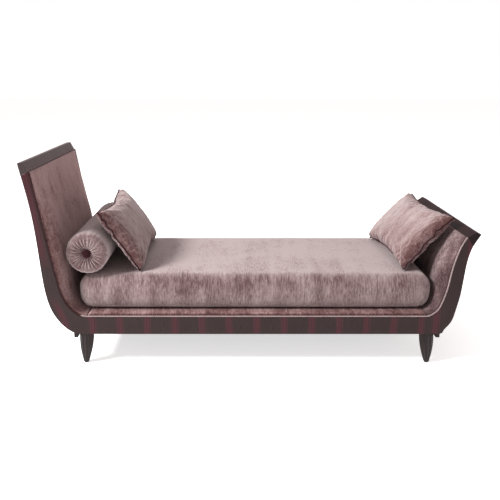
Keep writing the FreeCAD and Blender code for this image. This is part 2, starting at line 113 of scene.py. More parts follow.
def ripple(point, size, seed=0.0):
    """Smooth noise from -1 to 1 whose bumps are about as large as size."""
    return noise.noise(Vector((point[0] / size + seed, point[1] / size, point[2] / size)))


def node_box(node):
    """A node's lowest and highest corners as vectors."""
    return [Vector(corner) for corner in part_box(node)]


# %% [markdown]
# The pads and the corded edges follow the inner line of the frame. That line needn't be drawn
# again, because the model already holds it: the flat side of the welt is bounded by it. Walking
# round that flat side gives a closed loop, and its four sharp corners split it into the line on
# the wood and the same line a cord's width away.

# %% Read an outline from a node
def flat_side_loop(node, y):
    """The ordered points round a node's flat side at that y."""
    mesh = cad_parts[node].data
    on_side = {v.index for v in mesh.vertices if abs(v.co.y - y) < 1e-5}
    uses = {}
    for polygon in mesh.polygons:
        if all(index in on_side for index in polygon.vertices):
            for key in polygon.edge_keys:
                uses[key] = uses.get(key, 0) + 1
    places = {index: tuple(round(c, 5) for c in mesh.vertices[index].co) for index in on_side}
    links = {}
    rim = {}
    for (a, b), count in uses.items():
        pair = tuple(sorted((places[a], places[b])))
        rim[pair] = rim.get(pair, 0) + count
    for (a, b), count in rim.items():
        if count == 1 and a != b:
            links.setdefault(a, []).append(b)
            links.setdefault(b, []).append(a)
    start = min(links)
    loop = [start]
    previous, here = None, start
    while True:
        onward = [p for p in links[here] if p != previous]
        previous, here = here, onward[0]
        if here == start:
            return [Vector(p) for p in loop]
        loop.append(here)


def sharp_corners(loop, least=1.0):
    corners = []
    for number, point in enumerate(loop):
        before = (point - loop[number - 1]).normalized()
        after = (loop[(number + 1) % len(loop)] - point).normalized()
        if before.angle(after) > least:
            corners.append(number)
    return corners


def resample(points, count):
    """The same line with evenly spaced points."""
    lengths = [0.0]
    for a, b in zip(points, points[1:]):
        lengths.append(lengths[-1] + (b - a).length)
    result = []
    step = 0
    for number in range(count):
        target = lengths[-1] * number / (count - 1)
        while step < len(lengths) - 2 and lengths[step + 1] < target:
            step += 1
        span = lengths[step + 1] - lengths[step]
        share = 0 if span == 0 else (target - lengths[step]) / span
        result.append(points[step].lerp(points[step + 1], share))
    return result


def split_loop(loop, corners):
    """The two long runs between the four corners, both starting at the tall end."""
    runs = []
    for a, b in zip(corners, corners[1:] + corners[:1]):
        run = [loop[i % len(loop)] for i in range(a, b + 1 if b > a else b + len(loop) + 1)]
        runs.append(run)
    runs.sort(key=len, reverse=True)
    return [run if run[0].x < run[-1].x else run[::-1] for run in runs[:2]]


# %% The inner line of the frame
LINE_POINTS = 240
welt_low, welt_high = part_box("front_welt")
welt_loop = flat_side_loop("front_welt", welt_high[1])
welt_runs = split_loop(welt_loop, sharp_corners(welt_loop))
welt_runs.sort(key=lambda run: min(point.z for point in run))
WOOD_LINE = resample(welt_runs[0], LINE_POINTS)
CORD_LINE = [a.lerp(b, 0.5) for a, b in zip(WOOD_LINE, resample(welt_runs[1], LINE_POINTS))]
WELT_RADIUS = (welt_high[1] - welt_low[1]) / 2
print("inner line", len(WOOD_LINE), "points, from", WOOD_LINE[0], "to", WOOD_LINE[-1])


# %% [markdown]
# A finish is a small graph of shader nodes. Blender can draw such a graph by hand in its editor;
# here it is written out, with one short word for each step: add a node, link two sockets, do a
# sum, blend two colours, spread a range of values. Effects that several finishes share are made
# once as a node group, and a group puts out only masks, so each material keeps its own shader.

# %% Node helpers
class Nodes:
    """Short words for building one node tree."""

    def __init__(self, tree):
        self.tree = tree

    def add(self, kind, **settings):
        node = self.tree.nodes.new(kind)
        for name, value in settings.items():
            setattr(node, name, value)
        return node

    def link(self, output, target):
        self.tree.links.new(output, target)

    def feed(self, socket, value):
        """Gives a socket a number, a colour or another node's output."""
        if isinstance(value, (int, float)):
            socket.default_value = value
        elif isinstance(value, tuple):
            socket.default_value = (*value, 1)
        else:
            self.link(value, socket)

    def math(self, operation, a, b=0.0):
        node = self.add("ShaderNodeMath", operation=operation)
        self.feed(node.inputs[0], a)
        self.feed(node.inputs[1], b)
        return node.outputs[0]

    def plus(self, a, b):
        return self.math("ADD", a, b)

    def minus(self, a, b):
        return self.math("SUBTRACT", a, b)

    def times(self, a, b):
        return self.math("MULTIPLY", a, b)

    def blend(self, share, a, b):
        """Mixes two colours; each may be a colour or an output."""
        node = self.add("ShaderNodeMix", data_type="RGBA")
        for number, value in ((0, share), (6, a), (7, b)):
            self.feed(node.inputs[number], value)
        return node.outputs[2]

    def spread(self, value, low, high, to_low=0.0, to_high=1.0):
        """Maps a value from one range to another, and keeps it inside."""
        node = self.add("ShaderNodeMapRange")
        for socket, number in zip(node.inputs, (value, low, high, to_low, to_high)):
            self.feed(socket, number)
        return node.outputs[0]

    def noise(self, vector, scale, detail=2.0, roughness=0.5):
        node = self.add("ShaderNodeTexNoise")
        values = (("Vector", vector), ("Scale", scale), ("Detail", detail), ("Roughness", roughness))
        for name, value in values:
            self.feed(node.inputs[name], value)
        return node.outputs["Fac"]

    def stretched(self, vector, scale):
        node = self.add("ShaderNodeMapping")
        self.link(vector, node.inputs["Vector"])
        node.inputs["Scale"].default_value = scale
        return node.outputs["Vector"]


# %% Groups and materials
def new_group(name, kind, inputs, outputs):
    """A group whose inputs are of one kind and whose outputs are masks; returns its nodes and ends."""
    tree = bpy.data.node_groups.new(name, "ShaderNodeTree")
    for socket_name in inputs:
        tree.interface.new_socket(socket_name, in_out="INPUT", socket_type=kind)
    for socket_name in outputs:
        tree.interface.new_socket(socket_name, in_out="OUTPUT", socket_type="NodeSocketFloat")
    nodes = Nodes(tree)
    return nodes, nodes.add("NodeGroupInput"), nodes.add("NodeGroupOutput")


def new_material(name, roughness, **constants):
    """A material with one Principled shader whose plain values are set on its own sockets."""
    material = bpy.data.materials.new(name)
    material.use_nodes = True
    nodes = Nodes(material.node_tree)
    shader = material.node_tree.nodes["Principled BSDF"]
    shader.inputs["Roughness"].default_value = roughness
    for socket_name, value in constants.items():
        title = socket_name.replace("_", " ").title().replace("Ior", "IOR")
        shader.inputs[title].default_value = value
    coordinates = nodes.add("ShaderNodeTexCoord").outputs["Object"]
    return material, nodes, shader, coordinates


def coat(nodes, shader, colour, roughness=None):
    nodes.link(colour, shader.inputs["Base Color"])
    if roughness is not None:
        nodes.link(roughness, shader.inputs["Roughness"])


def add_bump(nodes, shader, height, strength, distance):
    bump = nodes.add("ShaderNodeBump")
    bump.inputs["Strength"].default_value = strength
    bump.inputs["Distance"].default_value = distance
    nodes.link(height, bump.inputs["Height"])
    nodes.link(bump.outputs["Normal"], shader.inputs["Normal"])


# %% [markdown]
# Velvet is a pile of short upright threads. Seen along the threads it is dark and deep, and seen
# across them it turns pale, and wherever a hand has brushed the pile it leaves a cloudy mark.
# Three things make that here: a Layer Weight that pales the cloth where it turns away, which is
# painted sheen, a streaky noise stretched along the nap, and a fine noise for the pile. The
# streaks and the pile are used by every velvet, so they are one node group.

# %% The brushed nap group
def make_nap_group():
    nodes, start, end = new_group(
        "brushed_nap", "NodeSocketVector", ("Coordinates", "Brushed"), ("Streaks", "Clouds", "Pile"),
    )
    broad = nodes.noise(start.outputs["Brushed"], 17.0, 3.0, 0.6)
    fine = nodes.noise(start.outputs["Brushed"], 150.0, 3.0, 0.7)
    clouds = nodes.noise(start.outputs["Coordinates"], 6.0, 3.0, 0.55)
    both = nodes.plus(nodes.times(broad, 0.42), nodes.times(fine, 0.58))
    nodes.link(nodes.spread(both, 0.36, 0.64), end.inputs["Streaks"])
    nodes.link(nodes.spread(clouds, 0.32, 0.68), end.inputs["Clouds"])
    nodes.link(nodes.noise(start.outputs["Coordinates"], 420.0, 3.0, 0.75), end.inputs["Pile"])
    return nodes.tree


NAP = make_nap_group()
print("group", NAP.name)


# %% [markdown]
# The same velvet looks different on each cushion, because its nap runs another way and the light
# strikes it at another angle. So each cushion has its own copy of the velvet, with that light and
# shade painted into its three tones, from the face-on one to the edge-on one, and into its lift,
# and with a direction for its brush marks and a strength for them. The welt has a pale copy as
# painted highlight, and its own much darker copy as painted shade where it lies in the shade of
# the tall end.

# %% Velvets
def velvet(name, deep, middle, pale, nap, streak=0.5, sheen=0.3, lift=0.1):
    """Velvet from a deep colour seen face on to a pale one seen edge on.

    nap squeezes the coordinates: a small number lengthens the brush marks along that axis.
    lift is how far the face-on colour is moved from deep towards pale.
    """
    material, nodes, shader, coordinates = new_material(
        name, 0.9, sheen_weight=sheen, sheen_roughness=0.4, sheen_tint=(*pale, 1),
        specular_ior_level=0.08,
    )
    marks = nodes.add("ShaderNodeGroup", node_tree=NAP)
    nodes.link(coordinates, marks.inputs["Coordinates"])
    nodes.link(nodes.stretched(coordinates, nap), marks.inputs["Brushed"])
    # The Layer Weight paints the sheen: the colour pales where the cloth turns away from the view.
    turned = nodes.add("ShaderNodeLayerWeight")
    turned.inputs["Blend"].default_value = 0.45
    share = nodes.plus(turned.outputs["Facing"], lift)
    for mask, amount in (("Streaks", streak), ("Clouds", streak * 0.4), ("Pile", 0.9)):
        share = nodes.plus(share, nodes.times(nodes.minus(marks.outputs[mask], 0.5), amount))
    low = nodes.blend(nodes.spread(share, 0.0, 0.42), deep, middle)
    coat(nodes, shader, nodes.blend(nodes.spread(share, 0.42, 0.9), low, pale))
    add_bump(nodes, shader, marks.outputs["Pile"], 0.3, 0.0008)
    return material


# %% The daybed's velvets
LENGTHWISE, CROSSWISE, DOWNWARDS, ROUND = (1, 0.2, 0.2), (0.2, 1, 0.2), (0.5, 1, 0.5), (1, 0.25, 1)
# These tone sets are copies of one mauve velvet with light and shade painted in. The plain mauve is the
# mattress's and the bolster's. The warm one is a shaded copy for the pillows, the rosy one a shaded copy
# for the tall end and the deck, and the grey one a darker shaded copy for the low end. Each velvet's lift
# also paints more or less light on its piece.
LIT_WELT_MAUVE = ((0.16, 0.11, 0.11), (0.34, 0.27, 0.26), (0.55, 0.48, 0.47))
MAUVE = ((0.085, 0.05, 0.05), (0.22, 0.16, 0.16), (0.36, 0.305, 0.30))
SHADED_PILLOW_MAUVE = ((0.08, 0.04, 0.039), (0.2, 0.135, 0.133), (0.36, 0.3, 0.295))
SHADED_ROSY_MAUVE = ((0.055, 0.026, 0.026), (0.15, 0.082, 0.08), (0.3, 0.205, 0.2))
SHADED_GREY_MAUVE = ((0.045, 0.026, 0.027), (0.105, 0.066, 0.068), (0.27, 0.205, 0.205))
SHADED_WELT_MAUVE = ((0.02, 0.008, 0.008), (0.04, 0.018, 0.018), (0.08, 0.045, 0.045))
BURGUNDY = ((0.010, 0.003, 0.004), (0.028, 0.008, 0.011), (0.07, 0.03, 0.036))
MATTRESS_VELVET = velvet("mattress_velvet", *MAUVE, LENGTHWISE, 0.62, 0.3, 0.22)
PILLOW_VELVET = velvet("pillow_velvet", *SHADED_PILLOW_MAUVE, CROSSWISE, 0.55, 0.3, 0.02)
BOLSTER_VELVET = velvet("bolster_velvet", *MAUVE, ROUND, 0.5, 0.3, 0.12)
TALL_END_VELVET = velvet("tall_end_velvet", *SHADED_ROSY_MAUVE, DOWNWARDS, 0.65, 0.25, 0.2)
LOW_END_VELVET = velvet("low_end_velvet", *SHADED_GREY_MAUVE, DOWNWARDS, 0.7, 0.2, -0.02)
# The welt's pale velvet is a lit copy, a painted highlight. Its near-black one is a shaded copy, painted
# shade on the tall end.
LIT_WELT_VELVET = velvet("welt_velvet", *LIT_WELT_MAUVE, DOWNWARDS, 0.2)
SHADED_TALL_END_WELT = velvet("shaded_tall_end_welt_velvet", *SHADED_WELT_MAUVE, DOWNWARDS, 0.2)
DECK_VELVET = velvet("deck_velvet", *SHADED_ROSY_MAUVE, LENGTHWISE, 0.8, 0.1, -0.12)
TRIM = velvet("burgundy_cloth", *BURGUNDY, CROSSWISE, 0.3, 0.1)
print(NAP.users, "velvets share the group", NAP.name)


# %% [markdown]
# The frame is veneered in leaves cut one after the other from the same block and laid side by
# side, so the same burgundy figure comes back at a regular distance. Each band is a few fine
# lines that waver a little. The rail's leaves stand upright, and the posts' leaves run along the
# post. One group draws the lines from a distance across the leaves and a distance along them,
# and each wood finish feeds it its own two distances.

# %% The veneer band group
LEAF = 0.1285
BAND_PHASE = 0.0235
LINE_PITCH = 0.0125


def make_band_group():
    nodes, start, end = new_group(
        "veneer_bands", "NodeSocketFloat", ("Across", "Along", "Depth"), ("Band", "Line", "Pore"),
    )
    place = nodes.add("ShaderNodeCombineXYZ")
    for number, name in enumerate(("Across", "Depth", "Along")):
        nodes.link(start.outputs[name], place.inputs[number])
    vector = place.outputs[0]
    drift = nodes.noise(nodes.stretched(vector, (3.0, 3.0, 9.0)), 1.0, 2.0, 0.5)
    wander = nodes.times(nodes.minus(drift, 0.5), 0.014)
    moved = nodes.plus(start.outputs["Across"], wander)
    turns = nodes.math("DIVIDE", nodes.minus(moved, BAND_PHASE), LEAF)
    inside = nodes.minus(turns, nodes.math("ROUND", turns))
    distance = nodes.math("ABSOLUTE", inside)
    band = nodes.spread(distance, 0.17, 0.06)
    comb = nodes.math("SINE", nodes.times(inside, 2 * math.pi * LEAF / LINE_PITCH))
    lines = nodes.times(nodes.spread(comb, -0.4, 0.9), band)
    thin = nodes.noise(nodes.stretched(vector, (420, 420, 9)), 1.0, 3.0, 0.65)
    pore = nodes.noise(nodes.stretched(vector, (1500, 1500, 60)), 1.0, 2.0, 0.6)
    strong = nodes.times(lines, nodes.spread(thin, 0.3, 0.6, 0.55, 1.0))
    nodes.link(band, end.inputs["Band"])
    nodes.link(strong, end.inputs["Line"])
    mixed = nodes.plus(nodes.times(thin, 0.6), nodes.times(pore, 0.4))
    nodes.link(mixed, end.inputs["Pore"])
    return nodes.tree


BANDS = make_band_group()
print("group", BANDS.name, "with leaves of", LEAF, "m")


# %% [markdown]
# Lacquer that people touch is never even. Hands leave broad smudges that blur its gloss, and
# dust settles on it in specks. Each is a noise of its own size, and every veneer uses both, so
# they are a group too.

# %% The handled surface group
def make_wear_group():
    nodes, start, end = new_group(
        "handled_surface", "NodeSocketVector", ("Coordinates",), ("Smudge", "Dust"),
    )
    place = start.outputs["Coordinates"]
    nodes.link(nodes.spread(nodes.noise(place, 9.0, 4.0, 0.6), 0.35, 0.7), end.inputs["Smudge"])
    nodes.link(nodes.spread(nodes.noise(place, 260.0, 2.0, 0.6), 0.5, 0.75), end.inputs["Dust"])
    return nodes.tree


WEAR = make_wear_group()
print("group", WEAR.name)


# %% [markdown]
# Every veneer is the same lacquered wood, with the leaves turned to suit its piece. On the posts
# the figure follows the curve of the wood, which a shift that grows along the post imitates.
# Each piece could have an image of its own instead, but then every seam would need matching by
# hand, and a procedural finish matches by itself because it reads the place on the daybed.

# %% Veneers
def wood_finish(name, colours, across, along, shifts=(), gloss=0.2, plain_between=None, dark_ends=0.0):
    """Lacquered veneer. across and along name the axes of the leaves.

    Each shift moves the leaves sideways by an amount that grows between two places on an axis.
    plain_between is a stretch along the leaves where the figure fades out. dark_ends darkens
    the end grain, which faces along Y on a crest.
    """
    material, nodes, shader, coordinates = new_material(
        name, 0.34, coat_weight=0.06, coat_roughness=0.12, specular_ior_level=gloss,
        specular_tint=(1.0, 0.84, 0.83, 1),
    )
    plain, light, figure = colours
    parts = nodes.add("ShaderNodeSeparateXYZ")
    nodes.link(coordinates, parts.inputs[0])
    bands = nodes.add("ShaderNodeGroup", node_tree=BANDS)
    place = parts.outputs[across]
    for axis, start, finish, amount in shifts:
        place = nodes.plus(place, nodes.spread(parts.outputs[axis], start, finish, 0.0, amount))
    nodes.link(place, bands.inputs["Across"])
    nodes.link(parts.outputs[along], bands.inputs["Along"])
    nodes.link(parts.outputs["Y" if across == "X" else "X"], bands.inputs["Depth"])
    wear = nodes.add("ShaderNodeGroup", node_tree=WEAR)
    nodes.link(coordinates, wear.inputs["Coordinates"])
    ground = nodes.blend(nodes.spread(bands.outputs["Pore"], 0.35, 0.65), plain, light)
    strength = 1.0
    if plain_between:
        start, finish = plain_between
        fading = nodes.spread(parts.outputs[along], start, start + 0.06, 1.0, 0.0)
        growing = nodes.spread(parts.outputs[along], finish - 0.1, finish, 0.0, 0.85)
        strength = nodes.plus(fading, growing)
    figured = ground
    for mask, share in (("Band", 0.3), ("Line", 0.95)):
        amount = nodes.times(nodes.times(bands.outputs[mask], share), strength)
        figured = nodes.blend(amount, figured, figure)
    facing = nodes.add("ShaderNodeSeparateXYZ")
    nodes.link(nodes.add("ShaderNodeNewGeometry").outputs["Normal"], facing.inputs[0])
    end_grain = nodes.spread(nodes.math("ABSOLUTE", facing.outputs["Y"]), 0.7, 0.9, 0.0, dark_ends)
    figured = nodes.blend(end_grain, figured, (0.006, 0.003, 0.003))
    dusty = nodes.times(wear.outputs["Dust"], 0.05)
    colour = nodes.blend(dusty, figured, (0.09, 0.075, 0.07))
    coat(nodes, shader, colour, nodes.spread(wear.outputs["Smudge"], 0, 1, 0.26, 0.4))
    add_bump(nodes, shader, bands.outputs["Pore"], 0.12, 0.0004)
    return material


VENEER = ((0.009, 0.0038, 0.0036), (0.018, 0.009, 0.0088), (0.054, 0.006, 0.013))
LIT_CREST_TONES = ((0.030, 0.020, 0.019), (0.048, 0.034, 0.032), (0.055, 0.022, 0.025))
SHADED_CREST_TONES = ((0.012, 0.005, 0.006), (0.02, 0.009, 0.010), (0.045, 0.010, 0.014))
LEG_COLOURS = ((0.004, 0.0022, 0.002), (0.010, 0.0065, 0.006), (0.013, 0.004, 0.005))
RAIL_VENEER = wood_finish("rail_veneer", VENEER, "X", "Z")
TALL_SHIFTS = (("Z", 0.22, 0.34, 0.048), ("Z", 0.34, 1.0, 0.089))
LOW_SHIFTS = (("X", 0.81, 0.835, 0.061),)
TALL_VENEER = wood_finish("tall_post_veneer", VENEER, "X", "Z", TALL_SHIFTS, plain_between=(0.28, 0.56))
LOW_VENEER = wood_finish("low_post_veneer", VENEER, "X", "Z", LOW_SHIFTS)
PANEL_VENEER = wood_finish("end_panel_veneer", VENEER, "Y", "Z", gloss=0.08)
# The two crests are one veneer in lit and shaded copies. The tall crest's lighter tones are painted
# light, the low crest's darker ones are painted shade, and their gloss differs as well.
TALL_CREST_VENEER = wood_finish("tall_crest_veneer", LIT_CREST_TONES, "Z", "Y", gloss=0.55, dark_ends=0.9)
LOW_CREST_VENEER = wood_finish("low_crest_veneer", SHADED_CREST_TONES, "Z", "Y", gloss=0.1, dark_ends=0.9)
LEG_WOOD = wood_finish("leg_wood", LEG_COLOURS, "X", "Z")
print(BANDS.users, "veneers share the group", BANDS.name)


# %% [markdown]
# The woods inside the frame are beech with no lacquer, so they are rough and pale, and the
# backing of each end is coloured dark where it might show, as painted shade for the gap under
# the crest. Their grain is one noise, drawn out along the length of the board. The metals, the
# nylon and the cloths are as simple: a noise or two crossed waves for the threads, which is
# enough for pieces that are seen from below.

# %% Plain woods
def raw_wood(name, plain, dark, scale):
    """Bare wood; scale has its small number on the axis that the grain follows."""
    material, nodes, shader, coordinates = new_material(name, 0.7)
    rings = nodes.noise(nodes.stretched(coordinates, scale), 1.0, 4.0, 0.6)
    colour = nodes.blend(nodes.spread(rings, 0.3, 0.7), plain, dark)
    coat(nodes, shader, colour, nodes.spread(rings, 0.3, 0.7, 0.62, 0.8))
    add_bump(nodes, shader, rings, 0.2, 0.0005)
    return material


BEECH = ((0.42, 0.27, 0.15), (0.3, 0.18, 0.09))
BEECH_ACROSS = raw_wood("beech_across", *BEECH, (60, 4, 60))
BEECH_ALONG = raw_wood("beech_along", *BEECH, (4, 60, 60))
# The backing is dark as painted shade in the gap under the crest.
SHADE_DARK_BACKING = raw_wood("shade_dark_backing", (0.035, 0.02, 0.018), (0.02, 0.012, 0.011), (60, 4, 60))


# %% Fittings and cloths
def metal(name, colour, tint):
    material, nodes, shader, coordinates = new_material(name, 0.35, metallic=1.0)
    spots = nodes.noise(coordinates, 320.0, 3.0, 0.6)
    tones = nodes.blend(nodes.spread(spots, 0.35, 0.65), colour, tint)
    coat(nodes, shader, tones, nodes.spread(spots, 0.3, 0.7, 0.28, 0.45))
    return material


def woven(name, warp, weft, threads=1400.0):
    """Plain weave drawn by two crossed waves."""
    material, nodes, shader, coordinates = new_material(name, 0.9)
    parts = nodes.add("ShaderNodeSeparateXYZ")
    nodes.link(coordinates, parts.inputs[0])
    waves = [nodes.math("SINE", nodes.times(parts.outputs[axis], threads)) for axis in ("X", "Y")]
    cross = nodes.times(*waves)
    age = nodes.noise(coordinates, 14.0, 4.0, 0.6)
    cloth = nodes.blend(nodes.spread(cross, -0.5, 0.5), warp, weft)
    coat(nodes, shader, nodes.blend(nodes.times(nodes.spread(age, 0.4, 0.7), 0.35), cloth, weft))
    add_bump(nodes, shader, cross, 0.4, 0.0005)
    return material


def nylon(name):
    material, nodes, shader, coordinates = new_material(name, 0.5)
    scuff = nodes.noise(coordinates, 240.0, 3.0, 0.7)
    tones = nodes.blend(nodes.spread(scuff, 0.4, 0.7), (0.02, 0.018, 0.018), (0.05, 0.045, 0.045))
    coat(nodes, shader, tones, nodes.spread(scuff, 0.3, 0.7, 0.4, 0.65))
    return material


ZINC = metal("zinc_steel", (0.55, 0.55, 0.57), (0.42, 0.42, 0.44))
BRASS = metal("threaded_brass", (0.62, 0.45, 0.2), (0.5, 0.34, 0.14))
DUST_CLOTH = woven("black_dust_cloth", (0.012, 0.012, 0.013), (0.02, 0.02, 0.021))
CANVAS = woven("deck_canvas_cloth", (0.42, 0.34, 0.22), (0.33, 0.26, 0.16))
JUTE = woven("jute_webbing", (0.4, 0.28, 0.15), (0.27, 0.18, 0.09), 1000.0)
NYLON = nylon("glide_nylon")
FITTINGS = (ZINC, BRASS, DUST_CLOTH, CANVAS, JUTE, NYLON)
print("fittings and cloths:", ", ".join(material.name for material in FITTINGS))


# %% [markdown]
# The hard nodes already have the right shape, so they only change their material. A table says
# which finish each one takes. Front and rear pieces are named alike, and so are those of the two
# ends, so loops over the names fill most of it.

# %% Dress the wooden and metal nodes
def paint(node, material):
    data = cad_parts[node].data
    data.materials.clear()
    data.materials.append(material)


NODE_FINISH = {"leg_bolts": ZINC, "leg_inserts": BRASS, "corner_blocks": BEECH_ALONG}
for face in ("front", "rear"):
    NODE_FINISH[face + "_rail"] = RAIL_VENEER
    NODE_FINISH[face + "_batten"] = BEECH_ALONG
    NODE_FINISH["tall_" + face + "_post"] = TALL_VENEER
    NODE_FINISH["low_" + face + "_post"] = LOW_VENEER
    for end in ("tall", "low"):
        NODE_FINISH[f"{end}_{face}_leg"] = LEG_WOOD
        NODE_FINISH[f"{end}_{face}_glide"] = NYLON
for end in ("tall", "low"):
    NODE_FINISH[end + "_crest"] = TALL_CREST_VENEER if end == "tall" else LOW_CREST_VENEER
    NODE_FINISH[end + "_end_skin"] = PANEL_VENEER
    NODE_FINISH[end + "_sill"] = LEG_WOOD
    NODE_FINISH[end + "_end_backing"] = SHADE_DARK_BACKING
    NODE_FINISH[end + "_deck_rail"] = BEECH_ACROSS
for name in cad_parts:
    if name.startswith(("deck_stretcher", "tall_rib", "low_rib")) or name.endswith("_dowels"):
        NODE_FINISH[name] = BEECH_ACROSS
for name, material in NODE_FINISH.items():
    paint(name, material)
print(len(NODE_FINISH), "nodes finished")


# %% [markdown]
# Every box-shaped cushion starts from one form: a box cut into small cells, whose edges are
# rolled over to a radius. Each point is pulled to the inner box and then pushed out by the
# radius, which keeps the cells even round the corners.

# %% A rounded block
def rounded_block(low, high, radii, cell):
    """Points and quads of a box with rolled edges; radii are how far the roll goes on X, Y and Z."""
    low, high = Vector(low), Vector(high)
    size = high - low
    counts = [max(2, round(length / cell)) for length in size]
    index = {}
    points = []
    faces = []

    def place(i, j, k):
        key = (i, j, k)
        if key not in index:
            share = Vector((i / counts[0], j / counts[1], k / counts[2]))
            point = low + Vector(share[a] * size[a] for a in range(3))
            inner = Vector(min(max(point[a], low[a] + radii[a]), high[a] - radii[a]) for a in range(3))
            outward = Vector((point[a] - inner[a]) / radii[a] for a in range(3))
            if outward.length > 1e-9:
                outward.normalize()
                point = inner + Vector(outward[a] * radii[a] for a in range(3))
            index[key] = len(points)
            points.append(point)
        return index[key]

    for axis in range(3):
        a, b = [other for other in range(3) if other != axis]
        for level in (0, counts[axis]):
            for i in range(counts[a]):
                for j in range(counts[b]):
                    ring = []
                    for di, dj in ((0, 0), (1, 0), (1, 1), (0, 1)):
                        key = [0, 0, 0]
                        key[axis], key[a], key[b] = level, i + di, j + dj
                        ring.append(place(*key))
                    flip = (level > 0) == (axis == 1)
                    faces.append(ring[::-1] if flip else ring)
    return points, faces


# %% [markdown]
# The mattress is a long box cushion. Its top is crowned, its sides are drawn in towards the
# corners, and its two ends are rounded more than its long sides, as a firm filling rounds them.
# The crown is made by lowering the edges and not by raising the middle, because the bolster and
# the pillows lie on the top and need its height. Low waves keep it from looking machined. The
# cover closes with a corded seam round its lower edge, and the cord is settled with the block.

# %% The shape of the mattress
MATTRESS_RADII = (0.068, 0.044, 0.072)
MATTRESS_DROP = 0.008
SEAM_RISE = 0.016
mattress_low, mattress_high = node_box("mattress_cover")


def settle(point):
    """Moves one point of the plain block to where the stuffed cushion has it."""
    middle, half = (mattress_low + mattress_high) / 2, (mattress_high - mattress_low) / 2
    u, v, w = ((point[a] - middle[a]) / half[a] for a in range(3))
    crown = (1 - abs(u) ** 5) * (1 - abs(v) ** 5)
    moved = Vector(point)
    wave = 0.0012 * (1 + ripple(point, 0.15, 3.0))
    moved.z -= (MATTRESS_DROP * (1 - crown) + wave) * max(0.0, w) ** 0.5
    moved.y -= v * (0.004 * abs(u) ** 6 + 0.003 * w * w) + v ** 3 * 0.0015 * (1 + ripple(point, 0.1, 9.0))
    moved.x -= math.copysign(0.002 + 0.004 * abs(v) ** 6, u) * abs(u) ** 40
    return moved


def seam_route(rise):
    """A closed line round the block at a height above its bottom."""
    low, high = mattress_low, mattress_high
    drop = 1 - rise / MATTRESS_RADII[2]
    share = math.sqrt(1 - drop * drop)
    route = []
    for number, (sx, sy) in enumerate(((1, 1), (-1, 1), (-1, -1), (1, -1))):
        corner = Vector((
            high.x - MATTRESS_RADII[0] if sx > 0 else low.x + MATTRESS_RADII[0],
            high.y - MATTRESS_RADII[1] if sy > 0 else low.y + MATTRESS_RADII[1], low.z + rise,
        ))
        for step in range(9):
            angle = (number + step / 8) * math.pi / 2
            route.append(corner + share * Vector((
                MATTRESS_RADII[0] * math.cos(angle), MATTRESS_RADII[1] * math.sin(angle), 0,
            )))
    return resample(route + route[:1], LINE_POINTS)[:-1]


# %% The mattress
mattress_points, mattress_faces = rounded_block(mattress_low, mattress_high, MATTRESS_RADII, 0.012)
mattress_points = [settle(point) for point in mattress_points]
mattress = build("mattress", mattress_points, mattress_faces)
smooth(mattress)
seat(mattress, MATTRESS_VELVET, "mattress", ["mattress_cover", "mattress_core"])
# The seam cord takes the welt's pale, lit copy of the velvet, so it carries the same painted highlight.
seam = tube("mattress_seam", [settle(point) for point in seam_route(SEAM_RISE)], 0.002, closed=True)
seat(seam, LIT_WELT_VELVET, "mattress")
print("mattress", len(mattress.data.vertices), "points")


# %% [markdown]
# The deck under the mattress is a thin pad in the same cloth, pulled down to the welt. The two
# end pads are fuller. Their base is the model's own foam, cut into small even cells. Each point
# then keeps only part of its height over the wood near the front and rear edges, so the pad
# rises from the welt as a stuffed lining does.

# %% The deck pad
deck_low, deck_high = node_box("deck_cover")
deck_points, deck_faces = rounded_block(deck_low, deck_high, (0.006,) * 3, 0.012)
for point in deck_points:
    if point.z > (deck_low.z + deck_high.z) / 2:
        point.z -= 0.0015 + 0.001 * ripple(point, 0.05, 5.0)
deck = build("deck_lining", deck_points, deck_faces)
smooth(deck)
# The deck takes the rosy shaded copy with a low lift, which is darker as painted shade under the
# mattress.
seat(deck, DECK_VELVET, "frame", ["deck_cover", "deck_pad"])
print("deck lining", len(deck.data.vertices), "points")


# %% The end pads
def remeshed_copy(node, name, voxel):
    """A copy of a node's mesh rebuilt in even cells."""
    copy = new_object(name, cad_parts[node].data.copy())
    copy.data.materials.clear()
    modifier = copy.modifiers.new("cells", "REMESH")
    modifier.mode = "VOXEL"
    modifier.voxel_size = voxel
    depsgraph = bpy.context.evaluated_depsgraph_get()
    mesh = bpy.data.meshes.new_from_object(copy.evaluated_get(depsgraph))
    copy.modifiers.clear()
    copy.data = mesh
    return copy


def nearest_on_line(point, line):
    """The gap to the inner line, seen from the side, and the X and Z of the nearest place on it."""
    best = None
    for a, b in zip(line, line[1:]):
        run = Vector((b.x - a.x, b.z - a.z))
        share = (Vector((point.x - a.x, point.z - a.z)).dot(run)) / max(run.length_squared, 1e-12)
        share = min(max(share, 0.0), 1.0)
        x, z = a.x + share * run.x, a.z + share * run.y
        gap = math.hypot(point.x - x, point.z - z)
        if best is None or gap < best[0]:
            best = (gap, x, z)
    return best


PAD_EDGE_SHARE = 0.32
PAD_EDGE_RUN = 0.13


def crown_pad(pad, line, half_depth):
    """Lowers the pad towards its front and rear edges."""
    for vertex in pad.data.vertices:
        co = vertex.co
        gap, x, z = nearest_on_line(co, line)
        inward = min(1.0, max(0.0, (half_depth - abs(co.y)) / PAD_EDGE_RUN))
        share = PAD_EDGE_SHARE + (1 - PAD_EDGE_SHARE) * math.sin(inward * math.pi / 2)
        height = 1 + 0.10 * ripple(co, 0.09, 2.0) * (gap > 0.01)
        co.x = x + (co.x - x) * share * height
        co.z = z + (co.z - z) * share * height


